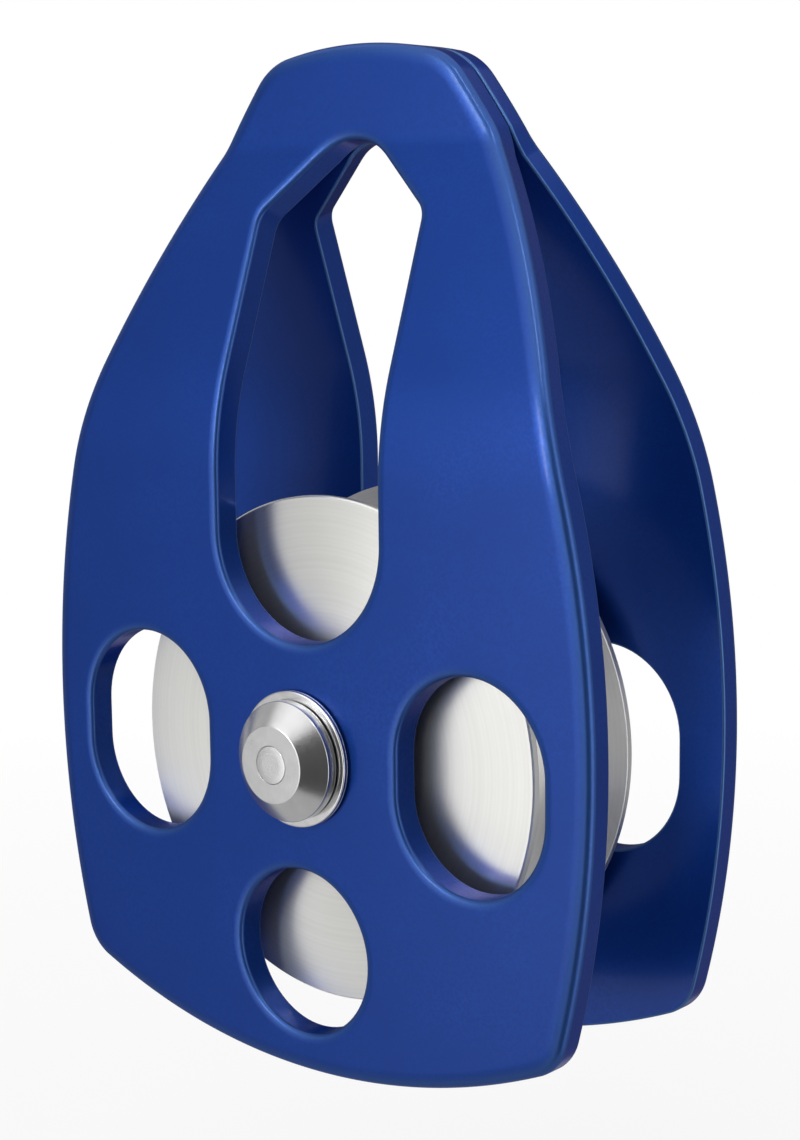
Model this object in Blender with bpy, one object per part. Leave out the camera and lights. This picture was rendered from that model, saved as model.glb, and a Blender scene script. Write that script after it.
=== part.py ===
"""Rope pulley: two swinging side plates, a grooved sheave on two ball bearings and a riveted axle.

X is across the plates, Y is along the axle with the front plate at -Y, and Z is up.
The row's origin is the crown of the eye, where the pulley hangs. Sizes are in millimetres.
"""
import math

import bmesh
import bpy

MM = 0.001

# Gap left between two pieces that touch in the real pulley.
SEAT = 0.3

# Side plates.
PLATE_THICKNESS = 4.5
SHEAVE_CLEARANCE = 2.2
CROWN_GAP = 0.4
CHEEK_WIDTH = 103.0
WIDEST_LEVEL = 4.0
SIDE_ARC_RADIUS = 150.0
TOP_LEVEL = 101.9
TOP_ARC_RADIUS = 66.0
SHOULDER_RADIUS = 10.0
BOTTOM_DEPTH = 47.3
BOTTOM_ARC_RADIUS = 106.0
CORNER_RADIUS = 7.5
OUTER_EDGE_ROUND = 1.0
INNER_EDGE_ROUND = 0.4

# Bends that bring the plates together above the sheave, as radii of the outer face.
LOWER_BEND_RADIUS = 50.0
UPPER_BEND_RADIUS = 8.0
BEND_ABOVE_SHEAVE = 2.5
BEND_ABOVE_EYE = 0.8

# Eye, seen from the front.
CROWN_METAL = 13.3
EYE_WIDTH = 31.2
EYE_BOTTOM = 16.5
EYE_ROOF_SLOPE = math.radians(41.0)
EYE_CROWN_RADIUS = 10.0
EYE_SHOULDER_RADIUS = 3.5

# Windows in each plate.
WINDOW_WIDTH = 25.8
WINDOW_HEIGHT = 31.2
WINDOW_RIM = 7.5
LOW_WINDOW_DIAMETER = 25.0
LOW_WINDOW_RIM = 5.7

# Sheave.
SHEAVE_RADIUS = 37.5
SHEAVE_WIDTH = 23.9
TREAD_RADIUS = 25.0
ROPE_DIAMETER = 16.0
ROPE_ROOM = 0.5
RIM_LAND = 1.25
RIM_CHAMFER = 0.4
HUB_RIB_WIDTH = 2.0
HUB_RIB_DEPTH = 1.8
HUB_SHOULDER = 1.0
HUB_WALL = 2.5

# Axle, heads and washers.
AXLE_RADIUS = 6.0
RIVET_RADIUS = 2.75
WASHER_RADIUS = 10.0
WASHER_THICKNESS = 0.9
HEAD_RADIUS = 8.8
HEAD_COLLAR = 1.65
HEAD_CONE = 2.6
HEAD_FACE_RADIUS = 5.65
SPACER_STEP = 0.2

# Ball bearings.
BEARING_RADIUS = 14.0
BEARING_WIDTH = 8.0
BALL_COUNT = 8
RACE_WALL = 1.02
RING_SHOULDER = 1.4
CAGE_DEPTH = 1.4
CAGE_RIM = 0.37
CAGE_PRONG = 1.2
CAGE_FLARE = 0.012
SEAL_THICKNESS = 0.5
SEAL_RECESS = 0.15

# Retaining rings.
CLIP_THICKNESS = 1.0
CLIP_GROOVE = 0.9
CLIP_BAND = 1.7
CLIP_LUG = 1.3
CLIP_LUG_HOLE = 0.55
CLIP_HALF_GAP = math.radians(16.0)
CLIP_LUG_ANGLE = math.radians(10.0)

# Derived sizes. The hub stands out of the sheave's sides only if its bearings need the width.
HALF_WIDTH = CHEEK_WIDTH / 2
BEARING_IN = HUB_RIB_WIDTH / 2 + SEAT
BEARING_OUT = BEARING_IN + BEARING_WIDTH
BEARING_MIDDLE = (BEARING_IN + BEARING_OUT) / 2
CLIP_IN = BEARING_OUT + SEAT
CLIP_OUT = CLIP_IN + CLIP_THICKNESS
CLIP_OUTSIDE = BEARING_RADIUS + CLIP_GROOVE - SEAT
CLIP_END = CLIP_OUT + SEAT
SHEAVE_FACE = SHEAVE_WIDTH / 2
HUB_FACE = max(SHEAVE_FACE, CLIP_END + HUB_SHOULDER)
PLATE_INNER = HUB_FACE + SHEAVE_CLEARANCE
PLATE_OUTER = PLATE_INNER + PLATE_THICKNESS
CROWN_OUTER = CROWN_GAP / 2 + PLATE_THICKNESS
EYE_TOP = TOP_LEVEL - CROWN_METAL
BEND_START = SHEAVE_RADIUS + BEND_ABOVE_SHEAVE
BEND_END = EYE_TOP + BEND_ABOVE_EYE
BEND_RISE = BEND_END - BEND_START
BEND_OFFSET = PLATE_OUTER - CROWN_OUTER
BEND_ROOM = (BEND_RISE ** 2 + BEND_OFFSET ** 2) / (2 * BEND_OFFSET)
BEND_SHARE = min(1.0, BEND_ROOM / (LOWER_BEND_RADIUS + UPPER_BEND_RADIUS))
LOWER_BEND = LOWER_BEND_RADIUS * BEND_SHARE
UPPER_BEND = UPPER_BEND_RADIUS * BEND_SHARE
GROOVE_RADIUS = ROPE_DIAMETER / 2 + ROPE_ROOM
WASHER_IN = PLATE_OUTER + SEAT
WASHER_OUT = WASHER_IN + WASHER_THICKNESS
HEAD_IN = WASHER_OUT + SEAT
HEAD_EDGE = HEAD_IN + HEAD_COLLAR
HEAD_OUT = HEAD_EDGE + HEAD_CONE
BORE_ON_AXLE = AXLE_RADIUS + SEAT
RING_OUTSIDE = BEARING_RADIUS - SEAT
PITCH_RADIUS = (AXLE_RADIUS + BEARING_RADIUS) / 2
INNER_SHOULDER = PITCH_RADIUS - RING_SHOULDER
OUTER_SHOULDER = PITCH_RADIUS + RING_SHOULDER
SPACER_RADIUS = INNER_SHOULDER - SPACER_STEP
SEAL_OUT = BEARING_WIDTH / 2 - SEAL_RECESS
SEAL_IN = SEAL_OUT - SEAL_THICKNESS
ROOM_BETWEEN_RINGS = (BEARING_RADIUS - AXLE_RADIUS) / 2 - SEAT - RACE_WALL
ROOM_BETWEEN_SEALS = SEAL_IN - SEAT - CAGE_RIM
RACE_RADIUS = min(ROOM_BETWEEN_RINGS, ROOM_BETWEEN_SEALS)
BALL_RADIUS = RACE_RADIUS - SEAT
AXLE_LEVEL = -EYE_TOP

ROUND_SEGMENTS = 32
SHEAVE_SEGMENTS = 48
BEARING_SEGMENTS = 24

ANODISED_BLUE = (0.021, 0.048, 0.262)
SATIN_ALUMINIUM = (0.62, 0.62, 0.60)
POLISHED_STEEL = (0.60, 0.60, 0.61)
BEARING_STEEL = (0.42, 0.43, 0.45)
SPRING_STEEL = (0.10, 0.10, 0.11)
CAGE_BRASS = (0.55, 0.38, 0.14)
SEAL_RUBBER = (0.02, 0.02, 0.02)


def clear_scene():
    for item in list(bpy.data.objects):
        bpy.data.objects.remove(item, do_unlink=True)


def make_material(name, colour, metallic, roughness):
    material = bpy.data.materials.new(name)
    material.use_nodes = True
    shader = material.node_tree.nodes["Principled BSDF"]
    shader.inputs["Base Color"].default_value = (*colour, 1.0)
    shader.inputs["Metallic"].default_value = metallic
    shader.inputs["Roughness"].default_value = roughness
    return material


def add_piece(name, mesh, finish):
    """Close a mesh drawn in millimetres about the axle's centre and put its object on the axle."""
    bmesh.ops.recalc_face_normals(mesh, faces=mesh.faces[:])
    if mesh.calc_volume(signed=True) < 0:
        bmesh.ops.reverse_faces(mesh, faces=mesh.faces[:])
    bmesh.ops.scale(mesh, vec=(MM, MM, MM), verts=mesh.verts[:])
    data = bpy.data.meshes.new(name)
    mesh.to_mesh(data)
    mesh.free()
    piece = bpy.data.objects.new(name, data)
    piece.location = (0.0, 0.0, AXLE_LEVEL * MM)
    piece.data.materials.append(make_material(name, *finish))
    bpy.context.scene.collection.objects.link(piece)
    return piece


def arc(centre, radius, start, end, segments):
    """Points on an arc in a plane, both ends included."""
    points = []
    for step in range(segments + 1):
        angle = start + (end - start) * step / segments
        points.append((centre[0] + radius * math.cos(angle), centre[1] + radius * math.sin(angle)))
    return points


def join(*runs):
    """Chain runs of points, leaving out a point that repeats the one before it."""
    chain = []
    for run in runs:
        for point in run:
            if not chain or math.dist(point, chain[-1]) > 0.001:
                chain.append(point)
    return chain


def mirrored_loop(right_half):
    """Close a right half that runs from top to bottom, both ends on the middle line."""
    left_half = [(-x, z) for x, z in reversed(right_half[1:-1])]
    return right_half + left_half


def direction(centre, point):
    return math.atan2(point[1] - centre[1], point[0] - centre[0])


def circle_crossing(first, first_radius, second, second_radius, upper):
    """The upper or lower point where two circles cross."""
    span = math.dist(first, second)
    along = (first_radius ** 2 - second_radius ** 2 + span ** 2) / (2 * span)
    across = math.sqrt(first_radius ** 2 - along ** 2)
    unit = ((second[0] - first[0]) / span, (second[1] - first[1]) / span)
    middle = (first[0] + unit[0] * along, first[1] + unit[1] * along)
    one = (middle[0] - unit[1] * across, middle[1] + unit[0] * across)
    other = (middle[0] + unit[1] * across, middle[1] - unit[0] * across)
    return max(one, other, key=lambda p: p[1]) if upper else min(one, other, key=lambda p: p[1])


def plate_outline(grow):
    """Front view of a plate: arcs for top, sides and bottom with rounded corners between them."""
    side = (HALF_WIDTH - SIDE_ARC_RADIUS, WIDEST_LEVEL)
    top = (0.0, TOP_LEVEL - TOP_ARC_RADIUS)
    bottom = (0.0, BOTTOM_ARC_RADIUS - BOTTOM_DEPTH)
    shoulder = circle_crossing(
        side, SIDE_ARC_RADIUS - SHOULDER_RADIUS, top, TOP_ARC_RADIUS - SHOULDER_RADIUS, True)
    corner = circle_crossing(
        side, SIDE_ARC_RADIUS - CORNER_RADIUS, bottom, BOTTOM_ARC_RADIUS - CORNER_RADIUS, False)
    over = direction(top, shoulder)
    flank_high = direction(side, shoulder)
    flank_low = direction(side, corner)
    under = direction(bottom, corner)
    return mirrored_loop(join(
        arc(top, TOP_ARC_RADIUS + grow, math.pi / 2, over, 5),
        arc(shoulder, SHOULDER_RADIUS + grow, over, flank_high, 4),
        arc(side, SIDE_ARC_RADIUS + grow, flank_high, flank_low, 18),
        arc(corner, CORNER_RADIUS + grow, flank_low, under, 5),
        arc(bottom, BOTTOM_ARC_RADIUS + grow, under, -math.pi / 2, 8),
    ))


def eye_outline(grow):
    """The eye: a rounded crown, sloping roof, straight sides and a half-round bottom."""
    half = EYE_WIDTH / 2
    crown = (0.0, EYE_TOP - EYE_CROWN_RADIUS)
    shoulder_x = half - EYE_SHOULDER_RADIUS
    reach = EYE_CROWN_RADIUS - EYE_SHOULDER_RADIUS - shoulder_x * math.sin(EYE_ROOF_SLOPE)
    shoulder = (shoulder_x, crown[1] + reach / math.cos(EYE_ROOF_SLOPE))
    bowl = (0.0, EYE_BOTTOM + half)
    roof = math.pi / 2 - EYE_ROOF_SLOPE
    return mirrored_loop(join(
        arc(crown, EYE_CROWN_RADIUS + grow, math.pi / 2, roof, 4),
        arc(shoulder, EYE_SHOULDER_RADIUS + grow, roof, 0.0, 3),
        arc(bowl, half + grow, 0.0, -math.pi / 2, 8),
    ))


def window_outline(side, grow):
    """A slot window with half-round ends, on the right for side 1 and on the left for side -1."""
    radius = WINDOW_WIDTH / 2
    middle = HALF_WIDTH - WINDOW_RIM - radius
    straight = WINDOW_HEIGHT / 2 - radius
    loop = join(
        arc((middle, straight), radius + grow, 0.0, math.pi, 11),
        arc((middle, -straight), radius + grow, math.pi, 2 * math.pi, 11),
    )
    return [(side * x, z) for x, z in loop]


def round_outline(level, radius, segments):
    return arc((0.0, level), radius, 0.0, 2 * math.pi, segments)[:-1]


def low_window_outline(grow):
    radius = LOW_WINDOW_DIAMETER / 2
    return round_outline(LOW_WINDOW_RIM + radius - BOTTOM_DEPTH, radius + grow, 24)


def slab(contours):
    """Close a slab from contours given as lists of rings, each ring a list of (x, depth, z).

    The rings of one contour run from one face to the other. Both faces are filled between all contours.
    """
    mesh = bmesh.new()
    first_edges = []
    last_edges = []
    for rings in contours:
        rows = [[mesh.verts.new(point) for point in ring] for ring in rings]
        count = len(rows[0])
        for near, far in zip(rows, rows[1:]):
            for i in range(count):
                after = (i + 1) % count
                mesh.faces.new((near[i], near[after], far[after], far[i]))
        for i in range(count):
            first_edges.append(mesh.edges.get((rows[0][i], rows[0][(i + 1) % count])))
            last_edges.append(mesh.edges.get((rows[-1][i], rows[-1][(i + 1) % count])))
    bmesh.ops.triangle_fill(mesh, edges=first_edges, use_beauty=True, use_dissolve=False)
    bmesh.ops.triangle_fill(mesh, edges=last_edges, use_beauty=True, use_dissolve=False)
    return mesh


def bend_angle():
    """Slope at which a straight run joins both bends tangentially between their levels."""
    radii = LOWER_BEND + UPPER_BEND
    reach = math.hypot(radii - BEND_OFFSET, BEND_RISE)
    return math.atan2(BEND_RISE, radii - BEND_OFFSET) - math.acos(min(1.0, radii / reach))


def bend_levels():
    """Levels at which the plate is cut into strips so that it can follow the bends."""
    slope = bend_angle()
    lower = [BEND_START + LOWER_BEND * math.sin(slope * step / 4) for step in range(5)]
    upper = [BEND_END - UPPER_BEND * math.sin(slope * step / 2) for step in range(3)]
    return lower + upper


def outer_face(level):
    """Distance of a plate's outer face from the middle plane and its slope there."""
    slope = bend_angle()
    lower_end = BEND_START + LOWER_BEND * math.sin(slope)
    upper_start = BEND_END - UPPER_BEND * math.sin(slope)
    if level <= BEND_START:
        return PLATE_OUTER, 0.0
    if level >= BEND_END:
        return CROWN_OUTER, 0.0
    if level < lower_end:
        turn = math.asin((level - BEND_START) / LOWER_BEND)
        return PLATE_OUTER - LOWER_BEND * (1 - math.cos(turn)), turn
    if level > upper_start:
        turn = math.asin((BEND_END - level) / UPPER_BEND)
        return CROWN_OUTER + UPPER_BEND * (1 - math.cos(turn)), turn
    fall = (level - lower_end) * math.tan(slope)
    return PLATE_OUTER - LOWER_BEND * (1 - math.cos(slope)) - fall, slope


def edge_steps():
    """Inset and depth of the rings that round a plate's edge, from outer face to inner face."""
    turn = 1 - math.sqrt(0.5)
    return [
        (OUTER_EDGE_ROUND, 0.0),
        (OUTER_EDGE_ROUND * turn, OUTER_EDGE_ROUND * turn),
        (0.0, OUTER_EDGE_ROUND),
        (0.0, PLATE_THICKNESS - INNER_EDGE_ROUND),
        (INNER_EDGE_ROUND, PLATE_THICKNESS),
    ]


def cheek(name, side):
    """A side plate: side is -1 for the front plate and 1 for the rear plate."""
    steps = edge_steps()
    outlines = [
        [plate_outline(-inset) for inset, depth in steps],
        [eye_outline(inset) for inset, depth in steps],
        [window_outline(1, inset) for inset, depth in steps],
        [window_outline(-1, inset) for inset, depth in steps],
        [low_window_outline(inset) for inset, depth in steps],
    ]
    straight_steps = [steps[0], steps[-1]]
    contours = []
    for rings in outlines:
        contours.append([[(x, depth, z) for x, z in ring] for ring, (inset, depth) in zip(rings, steps)])
    axle_hole = round_outline(0.0, BORE_ON_AXLE, BEARING_SEGMENTS)
    contours.append([[(x, depth, z) for x, z in axle_hole] for inset, depth in straight_steps])
    mesh = slab(contours)
    for level in bend_levels():
        everything = mesh.verts[:] + mesh.edges[:] + mesh.faces[:]
        bmesh.ops.bisect_plane(mesh, geom=everything, dist=0.02, plane_co=(0, 0, level), plane_no=(0, 0, 1))
    for vert in mesh.verts:
        depth = vert.co.y
        face, slope = outer_face(vert.co.z)
        vert.co.y = side * (face - depth * math.cos(slope))
        vert.co.z -= depth * math.sin(slope)
    return add_piece(name, mesh, (ANODISED_BLUE, 0.6, 0.35))


def turned(name, profile, segments, finish):
    """Revolve a closed profile of (radius, y) about the axle; points at radius 0 become end centres."""
    mesh = bmesh.new()
    rows = []
    for step in range(segments):
        angle = 2 * math.pi * step / segments
        rows.append([mesh.verts.new((r * math.cos(angle), y, r * math.sin(angle))) for r, y in profile if r > 0])
    solid = len(rows[0]) < len(profile)
    count = len(rows[0])
    for step in range(segments):
        here = rows[step]
        there = rows[(step + 1) % segments]
        for i in range(count - 1 if solid else count):
            after = (i + 1) % count
            mesh.faces.new((here[i], here[after], there[after], there[i]))
    if solid:
        mesh.faces.new([row[0] for row in rows])
        mesh.faces.new([row[-1] for row in rows])
    return add_piece(name, mesh, finish)


def flipped(profile, side):
    return [(r, side * y) for r, y in profile]


def sheave():
    """Flat sides, a rounded rope groove and a stepped hub for the two bearings."""
    lip = SHEAVE_FACE - RIM_LAND
    centre = TREAD_RADIUS + GROOVE_RADIUS
    reach = math.hypot(lip, SHEAVE_RADIUS - centre)
    touch = math.atan2(SHEAVE_RADIUS - centre, lip) - math.acos(GROOVE_RADIUS / reach)
    groove = [(z, y) for y, z in arc((0.0, centre), GROOVE_RADIUS, touch, -math.pi - touch, 8)]
    seat = BEARING_RADIUS
    recess = BEARING_RADIUS + CLIP_GROOVE
    rib = HUB_RIB_WIDTH / 2
    rim = [
        (SHEAVE_RADIUS - RIM_CHAMFER, SHEAVE_FACE),
        (SHEAVE_RADIUS, SHEAVE_FACE - RIM_CHAMFER),
        (SHEAVE_RADIUS, lip),
    ]
    hub = [
        (seat - HUB_RIB_DEPTH, rib),
        (seat, rib),
        (seat, BEARING_OUT),
        (recess, BEARING_OUT),
        (recess, CLIP_END),
        (seat, CLIP_END),
        (seat, HUB_FACE),
    ]
    if HUB_FACE > SHEAVE_FACE:
        hub += [(recess + HUB_WALL, HUB_FACE), (recess + HUB_WALL, SHEAVE_FACE)]
    profile = hub + rim + groove + flipped(reversed(rim), -1) + flipped(reversed(hub), -1)
    return turned("sheave", profile, SHEAVE_SEGMENTS, (SATIN_ALUMINIUM, 1.0, 0.3))


def axle():
    """A plain journal with a thinner rivet end on each side."""
    end = [(AXLE_RADIUS, WASHER_OUT), (RIVET_RADIUS, WASHER_OUT), (RIVET_RADIUS, HEAD_OUT), (0.0, HEAD_OUT)]
    profile = flipped(reversed(end), -1) + end
    return turned("axle", profile, BEARING_SEGMENTS, (POLISHED_STEEL, 1.0, 0.25))


def head(name, side):
    """The riveted head: a collar, a cone and a flat end."""
    bore = RIVET_RADIUS + SEAT
    edge = 0.25
    profile = [
        (bore, HEAD_IN),
        (HEAD_RADIUS - edge, HEAD_IN),
        (HEAD_RADIUS, HEAD_IN + edge),
        (HEAD_RADIUS, HEAD_EDGE - edge),
        (HEAD_RADIUS - edge, HEAD_EDGE),
        (HEAD_FACE_RADIUS, HEAD_OUT),
        (bore, HEAD_OUT),
    ]
    return turned(name, flipped(profile, side), ROUND_SEGMENTS, (POLISHED_STEEL, 1.0, 0.12))


def washer(name, side):
    """A thin washer with a rounded outer edge."""
    edge = WASHER_THICKNESS * 0.45
    profile = [
        (BORE_ON_AXLE, WASHER_IN),
        (WASHER_RADIUS - edge / 2, WASHER_IN),
        (WASHER_RADIUS, WASHER_IN + edge / 2),
        (WASHER_RADIUS, WASHER_OUT - edge),
        (WASHER_RADIUS - edge * 0.3, WASHER_OUT - edge * 0.3),
        (WASHER_RADIUS - edge, WASHER_OUT),
        (BORE_ON_AXLE, WASHER_OUT),
    ]
    return turned(name, flipped(profile, side), ROUND_SEGMENTS, (POLISHED_STEEL, 1.0, 0.15))


def sleeve(name, inner, outer, start, end, finish):
    profile = [(inner, start), (outer, start), (outer, end), (inner, end)]
    return turned(name, profile, BEARING_SEGMENTS, finish)


def race(shoulder, away, segments):
    """Cross-section of a ball race, with away -1 for the inner ring and 1 for the outer ring."""
    spread = math.acos(RING_SHOULDER / RACE_RADIUS)
    points = []
    for step in range(segments + 1):
        angle = -spread + 2 * spread * step / segments
        radius = PITCH_RADIUS + away * RACE_RADIUS * math.cos(angle)
        points.append((radius, BEARING_MIDDLE + RACE_RADIUS * math.sin(angle)))
    points[0] = (shoulder, points[0][1])
    points[-1] = (shoulder, points[-1][1])
    return points


def inner_ring(name, side):
    ends = [(INNER_SHOULDER, BEARING_OUT), (BORE_ON_AXLE, BEARING_OUT), (BORE_ON_AXLE, BEARING_IN)]
    profile = [(INNER_SHOULDER, BEARING_IN)] + race(INNER_SHOULDER, -1, 4) + ends
    return turned(name, flipped(profile, side), BEARING_SEGMENTS, (BEARING_STEEL, 1.0, 0.2))


def outer_ring(name, side):
    ends = [(OUTER_SHOULDER, BEARING_OUT), (RING_OUTSIDE, BEARING_OUT), (RING_OUTSIDE, BEARING_IN)]
    profile = [(OUTER_SHOULDER, BEARING_IN)] + race(OUTER_SHOULDER, 1, 4) + ends
    return turned(name, flipped(profile, side), BEARING_SEGMENTS, (BEARING_STEEL, 1.0, 0.2))


def seal(name, side, outward):
    """A flat seal in one mouth of a bearing; outward is 1 for the mouth away from the middle."""
    start = BEARING_MIDDLE + outward * SEAL_IN
    end = BEARING_MIDDLE + outward * SEAL_OUT
    finish = (SEAL_RUBBER, 0.0, 0.6)
    return sleeve(name, INNER_SHOULDER + SEAT, OUTER_SHOULDER - SEAT, side * start, side * end, finish)


def ball_angle(number):
    return 2 * math.pi * (number + 0.5) / BALL_COUNT


def cage(name, side):
    """A crown cage: a rim behind the balls with prongs that reach between them."""
    pocket = RACE_RADIUS
    half_pocket = pocket / PITCH_RADIUS
    half_pitch = math.pi / BALL_COUNT
    columns = []
    for number in range(BALL_COUNT):
        columns.append((ball_angle(number) - half_pitch, CAGE_PRONG))
        columns.append((ball_angle(number) - half_pocket - CAGE_FLARE, CAGE_PRONG))
        for step in range(6):
            turn = -math.pi / 2 + math.pi * step / 5
            columns.append((ball_angle(number) + half_pocket * math.sin(turn), -pocket * math.cos(turn)))
        columns.append((ball_angle(number) + half_pocket + CAGE_FLARE, CAGE_PRONG))
    foot = -pocket - CAGE_RIM
    inner = PITCH_RADIUS - CAGE_DEPTH / 2
    outer = PITCH_RADIUS + CAGE_DEPTH / 2
    mesh = bmesh.new()
    rows = []
    for angle, top in columns:
        row = []
        for radius, lift in ((inner, foot), (outer, foot), (outer, top), (inner, top)):
            y = side * (BEARING_MIDDLE + lift)
            row.append(mesh.verts.new((radius * math.cos(angle), y, radius * math.sin(angle))))
        rows.append(row)
    for i, here in enumerate(rows):
        there = rows[(i + 1) % len(rows)]
        for corner in range(4):
            after = (corner + 1) % 4
            mesh.faces.new((here[corner], here[after], there[after], there[corner]))
    return add_piece(name, mesh, (CAGE_BRASS, 1.0, 0.35))


def ball(name, side, number):
    mesh = bmesh.new()
    bmesh.ops.create_uvsphere(mesh, u_segments=8, v_segments=6, radius=BALL_RADIUS)
    angle = ball_angle(number)
    place = (PITCH_RADIUS * math.cos(angle), side * BEARING_MIDDLE, PITCH_RADIUS * math.sin(angle))
    bmesh.ops.translate(mesh, vec=place, verts=mesh.verts[:])
    return add_piece(name, mesh, (POLISHED_STEEL, 1.0, 0.05))


def retaining_ring(name, side):
    """A spring ring in the hub, open at the top, with a lug and a tool hole at each end."""
    gap = math.pi / 2 + CLIP_HALF_GAP
    lug = gap + CLIP_LUG_ANGLE
    turn = 2 * math.pi
    inside = CLIP_OUTSIDE - CLIP_BAND
    tip = inside - CLIP_LUG
    middle = (0.0, 0.0)
    outline = join(
        arc(middle, CLIP_OUTSIDE, gap, turn + math.pi - gap, 28),
        arc(middle, tip, turn + math.pi - gap, turn + math.pi - lug, 2),
        arc(middle, inside, turn + math.pi - lug, lug, 24),
        arc(middle, tip, lug, gap, 2),
    )
    eye_radius = (tip + CLIP_OUTSIDE) / 2
    eye_angle = (gap + lug) / 2
    eye = (eye_radius * math.cos(eye_angle), eye_radius * math.sin(eye_angle))
    hole = arc(eye, CLIP_LUG_HOLE, 0.0, turn, 8)[:-1]
    other_hole = [(-x, z) for x, z in hole]
    contours = []
    for loop in (outline, hole, other_hole):
        contours.append([[(x, side * y, z) for x, z in loop] for y in (CLIP_IN, CLIP_OUT)])
    return add_piece(name, slab(contours), (SPRING_STEEL, 1.0, 0.3))


def bearing(place, side):
    inner_ring(place + "_inner_ring", side)
    outer_ring(place + "_outer_ring", side)
    seal(place + "_outer_seal", side, 1)
    seal(place + "_inner_seal", side, -1)
    cage(place + "_cage", side)
    for number in range(BALL_COUNT):
        ball(place + "_ball_" + str(number + 1), side, number)


def main():
    clear_scene()
    axle()
    sheave()
    spacer_finish = (POLISHED_STEEL, 1.0, 0.3)
    rib = HUB_RIB_WIDTH / 2
    sleeve("centre_spacer", BORE_ON_AXLE, SPACER_RADIUS, -rib, rib, spacer_finish)
    for place, side in (("front", -1), ("rear", 1)):
        cheek(place + "_cheek", side)
        washer(place + "_washer", side)
        head(place + "_head", side)
        start = side * (BEARING_OUT + SEAT)
        end = side * (PLATE_INNER - SEAT)
        sleeve(place + "_side_spacer", BORE_ON_AXLE, SPACER_RADIUS, start, end, spacer_finish)
        bearing(place, side)
        retaining_ring(place + "_retaining_ring", side)


main()
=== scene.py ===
"""Looks of the rope pulley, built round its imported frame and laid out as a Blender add-on."""
import math

import bmesh
import bpy
from mathutils import Matrix, Vector


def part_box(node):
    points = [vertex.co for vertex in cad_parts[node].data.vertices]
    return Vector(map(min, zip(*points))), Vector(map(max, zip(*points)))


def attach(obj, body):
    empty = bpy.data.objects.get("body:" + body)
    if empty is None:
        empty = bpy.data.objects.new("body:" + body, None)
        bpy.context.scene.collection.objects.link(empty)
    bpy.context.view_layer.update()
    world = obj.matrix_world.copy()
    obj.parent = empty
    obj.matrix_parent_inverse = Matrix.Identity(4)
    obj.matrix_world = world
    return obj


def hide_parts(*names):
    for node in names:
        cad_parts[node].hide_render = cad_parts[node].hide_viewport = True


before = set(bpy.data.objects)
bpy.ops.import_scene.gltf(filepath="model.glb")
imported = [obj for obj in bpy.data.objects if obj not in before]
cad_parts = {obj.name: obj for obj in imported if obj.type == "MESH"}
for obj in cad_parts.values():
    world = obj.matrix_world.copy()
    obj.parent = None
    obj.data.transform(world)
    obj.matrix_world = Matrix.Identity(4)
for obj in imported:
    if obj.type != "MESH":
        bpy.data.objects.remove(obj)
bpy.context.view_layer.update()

bl_info = {
    "name": "Rope Pulley",
    "version": (1, 0, 0),
    "blender": (4, 5, 0),
    "location": "3D View > Sidebar > Pulley",
    "description": "Makes the plates, sheave, axle and bearings of a rope pulley, and the stage for them",
    "category": "Add Mesh",
}

SIDES = (("front", -1), ("rear", 1))

# Straight runs that stand for each curve, and segments round each turned piece.
ROLL_STEPS = 8
EDGE_STEPS = 12
BACK_STEPS = 4
LOWER_BEND_STEPS = 14
UPPER_BEND_STEPS = 6
CORNER_STEPS = 4
RACE_STEPS = 16
SHEAVE_SEGMENTS = 192
HEAD_SEGMENTS = 128
PIN_SEGMENTS = 96
SPACER_SEGMENTS = 72
BALL_SEGMENTS = 32
BALL_RINGS = 20

# How much of the paler edge colour shows on the plates, from 0 to 1; the paler colour is part wear and part
# painted highlight on the rounded edges.
FACE_WEAR_AND_HIGHLIGHT = 0.25
BACK_WEAR_AND_HIGHLIGHT = 0.6

# Rounding of the steel rings' corners in metres, and beside a hairline as a share of its gap.
BROKEN_EDGE = 0.00015
HAIRLINE_ROUND = 0.6

# Edges that turn by more than the first angle are shaded sharp, and by more than the second bevelled.
SHARP_ANGLE = math.radians(35.0)
BEVEL_ANGLE = math.radians(40.0)

# Points of an outline that lie nearer than this count as one, in metres.
SAME_POINT = 1e-6


def span(node, axis):
    """Size of a frame node along an axis."""
    low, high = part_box(node)
    return high[axis] - low[axis]


def far_side(node, axis):
    """Largest distance of a frame node from the middle plane along an axis."""
    low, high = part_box(node)
    return max(abs(low[axis]), abs(high[axis]))


AXLE_LEVEL = (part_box("axle")[0][2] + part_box("axle")[1][2]) / 2


def length(name, description, default):
    """A property for a length in metres."""
    return bpy.props.FloatProperty(
        name=name, description=description, default=default, min=0.0, precision=5,
        unit="LENGTH", subtype="DISTANCE")


def turn(name, description, degrees):
    """A property for an angle, given in degrees and kept in radians."""
    return bpy.props.FloatProperty(
        name=name, description=description, default=math.radians(degrees), unit="ROTATION", subtype="ANGLE")


def colour(name, description, default):
    """A property for a linear colour."""
    return bpy.props.FloatVectorProperty(
        name=name, description=description, default=default, min=0.0, max=1.0, size=3, subtype="COLOR")


def amount(name, description, default):
    """A property for a plain number."""
    return bpy.props.FloatProperty(name=name, description=description, default=default, min=0.0)


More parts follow.
